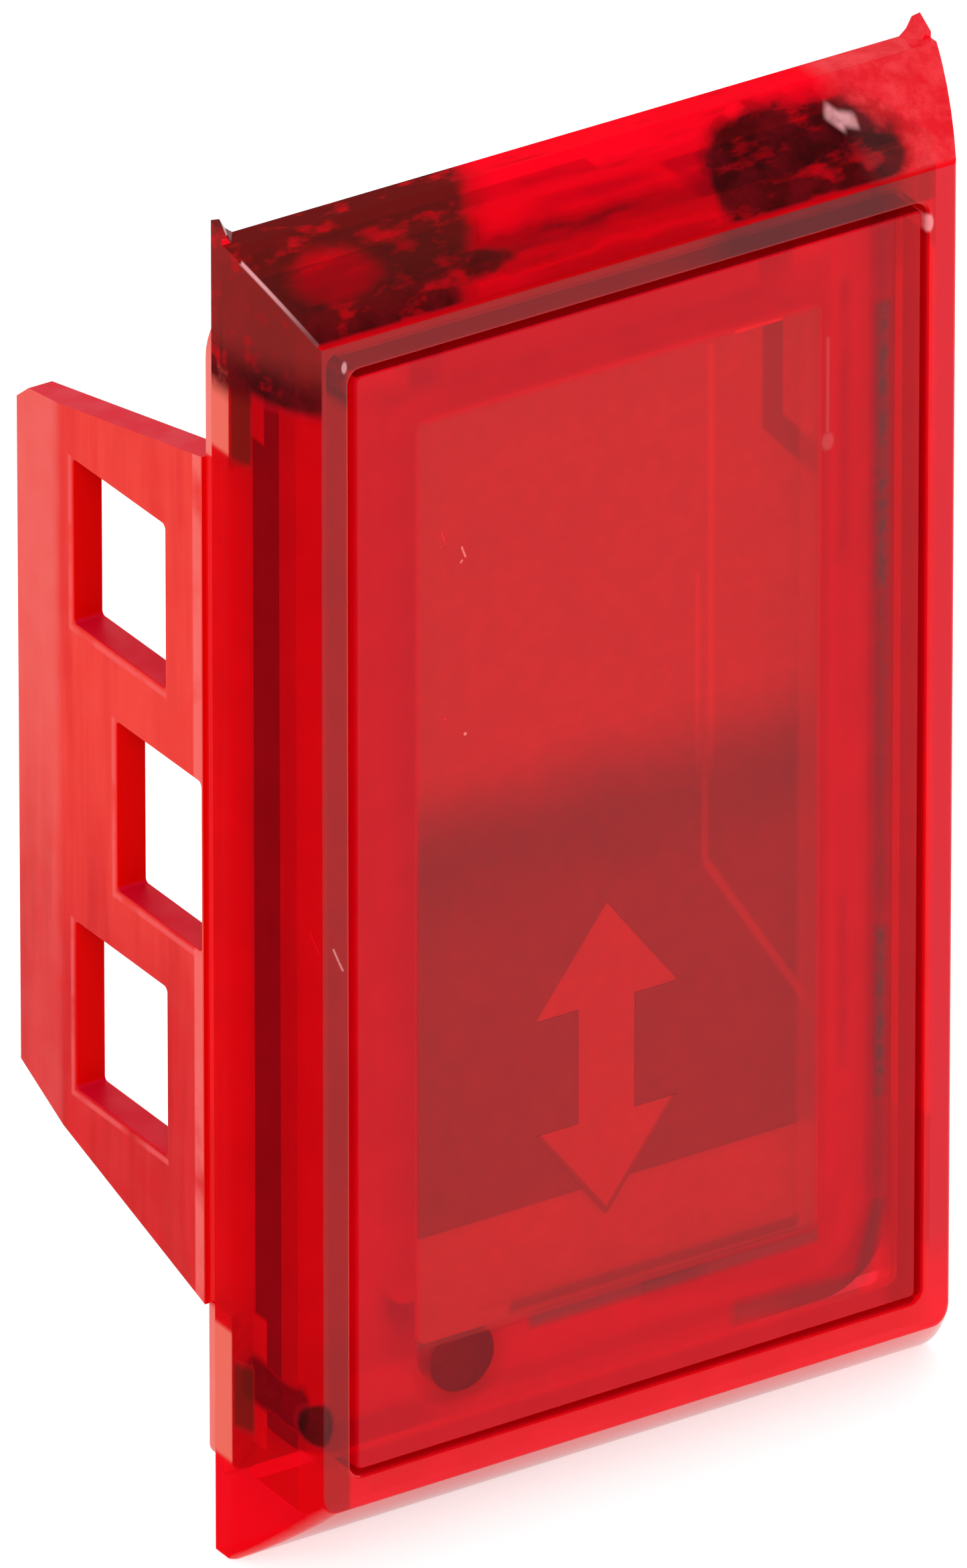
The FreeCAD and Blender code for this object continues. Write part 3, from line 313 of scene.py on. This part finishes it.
def cover_material():
    """The flared cover: reflecting front face, deep red flanks, and painted shade on the upper flank with red
    streaks.
    """
    g = Graph("cover_clear_red")
    p = Place(g)
    front = p.below(p.ny, -0.93, 0.10)
    flank = p.both(p.above(p.z, 19.72, 0.2), p.above(p.nz, 0.15, 0.2))
    dark, left_part, left_corner = cover_painted_shade(g, p, flank)
    highlights_and_scratches = cover_highlights_and_scratches(g, p)
    # painted shade: a dark patch on the lower left flank
    low_left_shade = p.spot(-11.30, -16.6, 0.42, 0.78, 0.5, 0.5)

    cloud = g.ramp(g.noise(420.0, 2.0), 0.3, 0.7)
    flank_tint = g.mix(cloud, (0.88, 0.010, 0.06), (0.93, 0.016, 0.08))
    front_tint = g.mix(cloud, (0.88, 0.10, 0.15), (0.92, 0.11, 0.16))
    tint = g.mix(front, flank_tint, front_tint)

    # front border: painted shade along its left and upper runs, deepest on the upper run between X 2 and 9.5;
    # darker along the right one
    face = p.both(front, p.below(p.y, -3.8, 0.1))
    left_or_top = p.either(p.below(p.x, -10.3, 0.2), p.above(p.z, 18.7, 0.2))
    grey_edge = p.both(face, left_or_top, p.below(p.x, 10.5, 0.6))
    grey_deep = g.times(grey_edge, p.within(p.x, 2.0, 9.5, 3.0))
    right_border = p.both(face, p.above(p.x, 10.5, 0.2), p.above(p.z, -17.5, 3.0))

    # dark lines where the groove walls catch no light
    low_groove = p.both(p.above(p.nz, 0.7, 0.2), p.within(p.z, -18.75, -18.45, 0.08))
    right_groove = p.both(p.below(p.nx, -0.7, 0.2), p.within(p.x, 10.0, 10.4, 0.08))
    groove_lines = g.times(p.either(low_groove, right_groove), 0.8)

    # the calm right end of the upper flank, and the rear rim with its pale ends and painted shade at its
    # brown ends
    calm = p.both(flank, p.above(p.x, 8.4, 1.2))
    calm_tone = g.drift(g.noise(900.0, 4.0, 0.7), (0.58, 0.004, 0.014), (0.74, 0.050, 0.065), 0.35)
    pale_ends = p.either(p.within(p.z, 15.2, 18.0, 0.3), p.within(p.z, -18.8, -14.3, 0.3))
    pale_band = p.both(p.below(p.nx, -0.9, 0.1), p.above(p.y, -0.93, 0.08), pale_ends)
    brown_ends = p.either(p.within(p.z, 15.0, 18.2, 0.6), p.within(p.z, -17.6, -15.2, 0.6))
    brown = p.both(p.below(p.x, -11.5, 0.4), p.within(p.y, -1.75, -0.98, 0.15), brown_ends)

    # painted shade colour for the dark zones and the dark patch on the lower left flank
    shade_tone = g.coats(
        g.drift(g.noise(1100.0, 3.0, 0.6), (0.030, 0.0015, 0.002), (0.080, 0.002, 0.004), 0.35),
        (p.both(left_part, p.above(p.z, 20.4, 1.4)), (0.075, 0.006, 0.005)),
        (p.both(left_corner, p.above(p.z, 18.6, 1.6)), (0.19, 0.014, 0.013)),
    )
    body = g.coats(
        g.drift(g.noise(700.0, 3.0), (0.80, 0.0005, 0.012), (0.88, 0.0008, 0.015), 0.35),
        (grey_edge, (0.22, 0.008, 0.011)),
        (grey_deep, (0.075, 0.008, 0.010)),
        (g.times(flank, 0.6), (0.98, 0.0008, 0.014)),
        (right_border, (0.50, 0.010, 0.022)),
        (groove_lines, (0.22, 0.0008, 0.003)),
        (calm, calm_tone),
        (pale_band, (0.76, 0.150, 0.110)),
        (brown, (0.14, 0.006, 0.004)),
        (p.either(dark, low_left_shade), shade_tone),
        # pale pink for the painted highlights and glints, and for the scratches
        (highlights_and_scratches, (0.80, 0.36, 0.38)),
    )
    open_edge = p.either(p.below(p.z, -18.9, 0.5), p.above(p.x, 10.6, 0.3))
    wall_share = g.plus(0.14, g.times(front, g.ramp(open_edge, 0.0, 1.0, 0.26, 0.30, smooth=False)))
    share = p.either(wall_share, groove_lines, highlights_and_scratches, p.strongest(
        (right_border, 0.6), (flank, 0.42), (pale_band, 0.85), (brown, 0.8),
        (calm, 0.6), (dark, 0.93), (low_left_shade, 0.85), (grey_deep, 0.72),
    ))
    downward = p.below(p.nz, -0.35, 0.3)
    rightward = p.above(p.nx, 0.15, 0.2)
    gloss = p.either(g.times(front, 0.65), downward, rightward, g.times(calm, 0.5), LEAST_GLOSS)
    return clear_red(g, tint, body, share, gloss)


def pane_material():
    """The press pane: thin clear window in the middle, a thicker and denser red frame around it."""
    g = Graph("pane_clear_red")
    p = Place(g)
    cloud = g.ramp(g.noise(420.0, 2.0), 0.3, 0.7)
    tint = g.mix(cloud, (0.93, 0.115, 0.17), (0.95, 0.12, 0.175))
    window = p.both(p.within(p.x, -7.85, 6.4, 0.3), p.within(p.z, -14.95, 16.2, 0.3))
    front = p.below(p.ny, -0.93, 0.10)
    right_strip = p.within(p.x, 9.0, 10.1, 0.5)
    facing_up = p.above(p.nz, 0.7, 0.2)

    # painted highlight along a slot: a pale line with a round end
    slot = p.either(p.line((6.70, 15.1), (6.70, 11.9), 0.05, 0.08), p.spot(6.70, 11.6, 0.22, 0.30, 0.5))

    # dim traces of the seal and the parts behind the frame
    whole_run = p.line((8.70, 18.2), (8.70, -14.6), 0.24, 0.45)
    ring_trace = p.either(
        g.times(whole_run, g.ramp(g.noise(110.0), 0.40, 0.65, 0.30, 0.75)),
        p.line((8.68, 15.8), (8.68, 6.0), 0.26, 0.45),
        p.line((8.70, -5.2), (8.70, -11.2), 0.22, 0.40),
    )
    low_trace = p.either(
        p.line((-3.9, -15.15), (6.5, -15.25), 0.24, 0.3),
        g.times(p.line((3.4, -17.05), (8.0, -17.35), 0.36, 0.45), 0.8),
        g.times(p.line((8.0, -17.35), (8.75, -14.6), 0.26, 0.4), 0.8),
    )
    mottle = g.ramp(g.noise(2600.0, 3.0, 0.6), 0.3, 0.65, 0.72, 1.0)
    traces = p.both(front, p.either(g.times(ring_trace, mottle), g.times(low_trace, 0.8)))

    # painted shade on the groove's upper wall and the lower window wall, painted light on the right window
    # wall
    groove_line = p.both(facing_up, p.above(p.z, 18.25, 0.1))
    right_wall = p.both(p.below(p.nx, -0.7, 0.2), p.within(p.x, 7.0, 7.4, 0.1))
    low_wall = p.both(facing_up, p.within(p.z, -15.9, -15.5, 0.1), p.above(p.x, -3.0, 0.5))
    scratches = p.both(front, p.either(
        p.line((-6.30, 11.75), (-6.15, 11.35), 0.035),
        p.spot(-6.17, 5.44, 0.06, 0.06, 0.8),
        p.line((-6.35, 11.2), (-6.25, 11.3), 0.035),
    ))
    body = g.coats(
        g.drift(g.noise(700.0, 3.0), (0.80, 0.003, 0.018), (0.86, 0.004, 0.020), 0.35),
        (traces, (0.13, 0.030, 0.032)),
        (groove_line, (0.13, 0.0008, 0.003)),
        (right_wall, (0.92, 0.006, 0.03)),
        (low_wall, (0.22, 0.010, 0.014)),
        (p.either(scratches, g.times(slot, 0.4)), (0.85, 0.20, 0.20)),
    )
    clearer = p.strongest((p.spot(-6.3, -15.75, 1.5, 1.3, 0.5), 0.20), (right_strip, 0.16))
    frame_share = g.times(g.minus(1.0, window), g.minus(0.36, clearer))
    share = p.either(g.plus(g.times(window, 0.08), frame_share), p.strongest(
        (right_wall, 0.75), (low_wall, 0.7), (scratches, 0.7),
        (slot, 0.4), (traces, 0.66), (groove_line, 0.8),
    ))
    gloss = g.times(front, g.ramp(window, 0.0, 1.0, 0.45, 0.78, smooth=False))
    return clear_red(g, tint, body, share, p.either(gloss, LEAST_GLOSS))


# ---------------------------------------------------------------- printed films and the dark film

def film_bump(g):
    return g.bump(g.noise(3000.0, 2.0), 0.1, FILM_GRAIN)


def film_noise(g):
    return g.noise(1500.0, 4.0, 0.65)


def legend_material():
    """Pale printed sheet: the clip plate behind it shows as thin lines and one darker band."""
    g = Graph("legend_film_print")
    p = Place(g)
    traces = p.either(
        p.line((3.35, 15.3), (3.39, -2.27), 0.10, 0.12),
        p.line((3.39, -2.27), (7.5, -8.7), 0.10, 0.12),
        p.line((2.9, 7.7), (2.9, -2.2), 0.07, 0.12),
    )
    band = p.either(
        p.line((5.55, 15.5), (5.55, 11.9), 0.36, 0.12),
        p.line((5.45, 12.2), (7.5, 9.9), 0.36, 0.12),
    )
    top_glint = p.line((4.2, 15.42), (5.9, 15.42), 0.06)
    tone = g.coats(
        g.drift(film_noise(g), (0.56, 0.54, 0.53), (0.62, 0.60, 0.58)),
        (g.times(band, 0.85), (0.30, 0.34, 0.34)),
        (g.times(traces, 0.75), (0.80, 0.62, 0.62)),
        (top_glint, (0.95, 0.95, 0.95)),
    )
    rough = g.ramp(g.noise(800.0), 0.3, 0.7, 0.6, 0.75)
    return g.finish(g.skin(tone, rough, film_bump(g), specular=0.1))


def arrow_material():
    """Pale arrow with painted shade along the edges of its lower head."""
    g = Graph("arrow_film_print")
    p = Place(g)
    # painted shade along the edges of the lower head
    rim = p.either(
        p.line((-2.95, -9.65), (-0.4, -13.0), 0.16, 0.1),
        p.line((2.15, -9.65), (-0.4, -13.0), 0.16, 0.1),
    )
    tone = g.coats(
        g.drift(film_noise(g), (0.56, 0.55, 0.54), (0.62, 0.61, 0.59)),
        (g.times(rim, 0.75), (0.22, 0.22, 0.22)),
    )
    rough = g.ramp(g.noise(800.0), 0.3, 0.7, 0.55, 0.7)
    return g.finish(g.skin(tone, rough, film_bump(g), specular=0.1))


def shade_material():
    """Dark grey film: runs out upwards in a soft uneven edge; a trace of the clip plate crosses it."""
    g = Graph("dark_film")
    p = Place(g)
    trace = p.either(
        p.line((3.1, 3.4), (3.1, -2.0), 0.11, 0.12),
        p.line((3.1, -2.0), (7.1, -8.3), 0.13, 0.14),
    )
    tone = g.coats(
        g.drift(film_noise(g), (0.27, 0.33, 0.33), (0.31, 0.37, 0.37)),
        (g.times(trace, 0.6), (0.60, 0.44, 0.44)),
    )
    rough = g.ramp(g.noise(800.0), 0.3, 0.7, 0.54, 0.6)
    film_skin = g.skin(tone, rough, film_bump(g), specular=0.2)
    height = g.plus(p.z, g.times(g.minus(g.noise(260.0), 0.5), 1.2))
    clear = g.node("ShaderNodeBsdfTransparent").outputs[0]
    return g.finish(g.shader_mix(g.ramp(height, -2.8, 4.0), film_skin, clear))


# ---------------------------------------------------------------- opaque mouldings, rubber and metal

def window_edge(p, y0, y1, z0, z1):
    """Mask for the painted highlight on the narrow rounded edge around one window of a clip plate, lower and
    rear sides only.
    """
    wide = p.both(p.within(p.y, y0 - 0.1, y1 + 0.22, 0.1), p.within(p.z, z0 - 0.28, z1 + 0.1, 0.1))
    narrow = p.both(p.within(p.y, y0 - 0.4, y1 + 0.05, 0.1), p.within(p.z, z0 - 0.08, z1 + 0.4, 0.1))
    return p.g.times(wide, p.g.minus(1.0, narrow))


def wing_material():
    """Clip plates: coral red, with painted highlights along the root, the rear bevel and the window edges,
    deep red on the cut edges.
    """
    g = Graph("wing_red_moulding")
    p = Place(g)
    drawn = g.noise(700.0, 3.0, 0.55, (1.0, 1.6, 0.14))
    side = g.math("ABSOLUTE", p.nx)
    low = g.ramp(g.plus(p.z, g.times(drawn, 3.0)), -6.0, 3.0, 1.0, 0.0)
    low_tone = g.drift(drawn, (0.48, 0.0006, 0.004), (0.58, 0.004, 0.010), 0.35, 0.65)
    bevel_fade = g.ramp(g.plus(p.z, g.times(drawn, 4.0)), -5.0, 9.0, 0.25, 1.0)
    bevel = g.times(p.above(p.y, 9.2, 0.8), bevel_fade)
    root = p.both(p.within(p.y, 1.15, 1.62, 0.1), p.above(g.noise(500.0), 0.35, 0.3))
    edges = p.either(*[window_edge(p, *window) for window in WING_WINDOWS])
    outline = p.both(edges, p.above(side, 0.8, 0.1), p.above(g.noise(600.0), 0.38, 0.25))
    cut = p.below(side, 0.55, 0.3)
    facing_up = p.above(p.nz, 0.5, 0.3)
    # painted highlights on the rear bevel, the root and the window outlines
    tone = g.coats(
        g.drift(drawn, (0.68, 0.020, 0.016), (0.76, 0.040, 0.028)),
        (g.times(low, 0.8), low_tone),
        (g.times(bevel, 0.8), (0.76, 0.095, 0.082)),
        (g.times(root, 0.75), (0.82, 0.14, 0.125)),
        (g.times(outline, 0.6), (0.78, 0.10, 0.10)),
        (cut, (0.70, 0.0004, 0.0004)),
        (g.times(cut, facing_up), (0.60, 0.002, 0.018)),
    )
    rough = g.ramp(g.noise(900.0), 0.3, 0.7, 0.34, 0.5)
    return g.finish(g.skin(tone, rough, g.bump(drawn, 0.12, MOULD_GRAIN), specular=0.04))


def skirt_material():
    """Skirt frame: coral where it stands clear, deep red along the folds where the clip plates join."""
    g = Graph("skirt_red_moulding")
    p = Place(g)
    drawn = g.noise(700.0, 3.0, 0.55, (1.0, 1.0, 0.14))
    coral = g.drift(drawn, (0.70, 0.115, 0.095), (0.80, 0.17, 0.14))
    deep = g.drift(drawn, (0.66, 0.001, 0.004), (0.78, 0.002, 0.006))
    fold = p.within(p.z, -14.4, 14.3, 0.2)
    inside = p.below(g.math("ABSOLUTE", p.x), 11.7, 0.2)
    tone = g.mix(p.either(fold, inside), coral, deep)
    rough = g.ramp(g.noise(900.0), 0.3, 0.7, 0.34, 0.5)
    return g.finish(g.skin(tone, rough, g.bump(drawn, 0.12, MOULD_GRAIN), specular=0.15))


def seal_material():
    """Black rubber, reddish along the middle of its upper and lower runs."""
    g = Graph("seal_rubber_black")
    p = Place(g)
    low_run = p.both(p.within(p.x, -5.0, 7.0, 2.5), p.below(p.z, -18.8, 0.3))
    high_run = p.both(p.within(p.x, -2.0, 5.0, 3.0), p.above(p.z, 18.8, 0.3))
    thin = p.either(low_run, g.times(high_run, 0.5))
    dark = g.mix(g.noise(1400.0, 4.0), (0.010, 0.008, 0.008), (0.035, 0.028, 0.028))
    tone = g.mix(thin, dark, (0.45, 0.03, 0.03))
    rough = g.ramp(g.noise(900.0), 0.3, 0.7, 0.7, 0.95)
    return g.finish(g.skin(tone, rough, g.bump(g.noise(2400.0, 3.0), 0.2, FINE_GRAIN), specular=0.2))


def plastic(name, low, high, rough):
    """Opaque moulded plastic with a fine spark-eroded texture and slight tone change."""
    g = Graph(name)
    tone = g.drift(g.noise(260.0, 3.0), low, high)
    worn = g.ramp(g.noise(900.0), 0.3, 0.7, rough * 0.85, rough * 1.2)
    return g.finish(g.skin(tone, worn, g.bump(g.noise(1800.0, 4.0, 0.6), 0.15, MOULD_GRAIN)))


def metal(name, low, high, rough, brushed=(1.0, 1.0, 1.0)):
    """Bare metal; brushed stretches its streaks along X, Y and Z."""
    g = Graph(name)
    streak = g.noise(1500.0, 3.0, 0.6, brushed)
    tone = g.drift(streak, low, high)
    worn = g.ramp(streak, 0.25, 0.75, rough * 0.8, rough * 1.3)
    return g.finish(g.skin(tone, worn, g.bump(streak, 0.1, FINE_GRAIN), metallic=1.0))


def make_materials():
    """One material for each slot of the design."""
    return {
        "cover_red": cover_material(),
        "pane_red": pane_material(),
        "legend_film": legend_material(),
        "shade_film": shade_material(),
        "arrow_film": arrow_material(),
        "striker_plastic": plastic("striker_dark", (0.05, 0.03, 0.03), (0.10, 0.06, 0.06), 0.5),
        "seal_rubber": seal_material(),
        "skirt_red": skirt_material(),
        "wing_red": wing_material(),
        "chassis_plastic": plastic("chassis_light", (0.66, 0.64, 0.60), (0.74, 0.72, 0.68), 0.55),
        "screw_steel": metal("screw_zinc", (0.55, 0.56, 0.58), (0.72, 0.72, 0.73), 0.32),
        "pin_steel": metal("pin_ground_steel", (0.62, 0.62, 0.63), (0.75, 0.75, 0.76), 0.2, (1.0, 8.0, 8.0)),
        "guide_acrylic": plastic("guide_frosted", (0.80, 0.79, 0.77), (0.88, 0.87, 0.85), 0.4),
        "slide_plastic": plastic("slide_acetal", (0.78, 0.77, 0.72), (0.86, 0.85, 0.80), 0.35),
        "spring_steel": metal("spring_steel_bright", (0.45, 0.45, 0.46), (0.65, 0.65, 0.66), 0.28),
        "housing_plastic": plastic("housing_grey", (0.50, 0.50, 0.49), (0.60, 0.60, 0.58), 0.55),
        "switch_plastic": plastic("switch_black", (0.03, 0.03, 0.033), (0.055, 0.055, 0.06), 0.5),
        "button_plastic": plastic("button_red", (0.5, 0.05, 0.03), (0.65, 0.08, 0.05), 0.35),
        "contact_brass": metal("contact_brass_bright", (0.70, 0.52, 0.22), (0.85, 0.68, 0.36), 0.3),
        "board_laminate": plastic("board_green", (0.02, 0.14, 0.06), (0.03, 0.20, 0.09), 0.4),
        "led_lens": plastic("led_lens_warm", (0.85, 0.80, 0.62), (0.95, 0.92, 0.80), 0.2),
        "resistor_ceramic": plastic("resistor_black", (0.04, 0.04, 0.045), (0.09, 0.09, 0.10), 0.45),
        "block_plastic": plastic("block_dark_grey", (0.20, 0.21, 0.22), (0.27, 0.28, 0.29), 0.5),
    }


def dress_nodes(materials):
    """Puts on every piece of the design the material its slot names."""
    slots = {part["node"]: part["material_slot"] for part in frame["record"]["subparts"]}
    for node, thing in frame["nodes"].items():
        for slot in thing.material_slots:
            slot.material = materials[slots[node]]


# ---------------------------------------------------------------- stage, light and camera

def make_floor():
    """White floor just below the lowest point, bright enough of itself to print as the white page."""
    half = FLOOR_HALF
    level = CAD_LOW[2] - FLOOR_GAP
    corners = [(-half, -half, level), (half, -half, level), (half, half, level), (-half, half, level)]
    mesh = bpy.data.meshes.new("floor")
    mesh.from_pydata(corners, [], [(0, 1, 2, 3)])
    floor = bpy.data.objects.new("floor", mesh)
    bpy.context.collection.objects.link(floor)
    g = Graph("floor_white")
    skin = g.node("ShaderNodeBsdfPrincipled", Roughness=0.9)
    skin.inputs["Specular IOR Level"].default_value = 0.0
    g.put(skin.inputs["Base Color"], g.mix(g.noise(6.0), (0.50, 0.50, 0.50), (0.52, 0.52, 0.52)))
    skin.inputs["Emission Color"].default_value = (1.0, 1.0, 1.0, 1.0)
    skin.inputs["Emission Strength"].default_value = FLOOR_GLOW
    mesh.materials.append(g.finish(skin.outputs[0]))


def make_world():
    world = bpy.data.worlds.new("studio")
    world.use_nodes = True
    background = world.node_tree.nodes["Background"]
    background.inputs["Color"].default_value = (1.0, 1.0, 1.0, 1.0)
    background.inputs["Strength"].default_value = WORLD_STRENGTH
    bpy.context.scene.world = world


def make_lights():
    for name, (place, size, power) in LAMPS.items():
        data = bpy.data.lights.new(name, "AREA")
        data.shape = "RECTANGLE"
        data.size, data.size_y = size
        data.energy = power
        lamp = bpy.data.objects.new(name, data)
        lamp.visible_camera = False
        lamp.location = place
        lamp.rotation_euler = (-Vector(place)).to_track_quat("-Z", "Y").to_euler()
        bpy.context.collection.objects.link(lamp)


def make_camera():
    data = bpy.data.cameras.new("camera")
    data.lens = LENS_MM
    data.sensor_width = SENSOR_MM
    camera = bpy.data.objects.new("camera", data)
    flat = math.cos(ELEVATION)
    back = Vector((math.sin(AZIMUTH) * flat, -math.cos(AZIMUTH) * flat, math.sin(ELEVATION)))
    distance = LENS_MM * VIEW_HEIGHT / SENSOR_MM
    camera.location = AIM + back * distance
    camera.rotation_euler = (-back).to_track_quat("-Z", "Y").to_euler()
    data.clip_start = distance * CLIP_START_SHARE
    data.clip_end = CLIP_END
    bpy.context.collection.objects.link(camera)
    bpy.context.scene.camera = camera


def set_render_look():
    scene = bpy.context.scene
    scene.view_settings.view_transform = "Standard"
    scene.view_settings.look = "None"
    scene.cycles.transparent_max_bounces = TRANSPARENT_BOUNCES
    scene.cycles.max_bounces = MAX_BOUNCES


make_camera()
make_floor()
make_world()
make_lights()
set_render_look()
dress_nodes(make_materials())
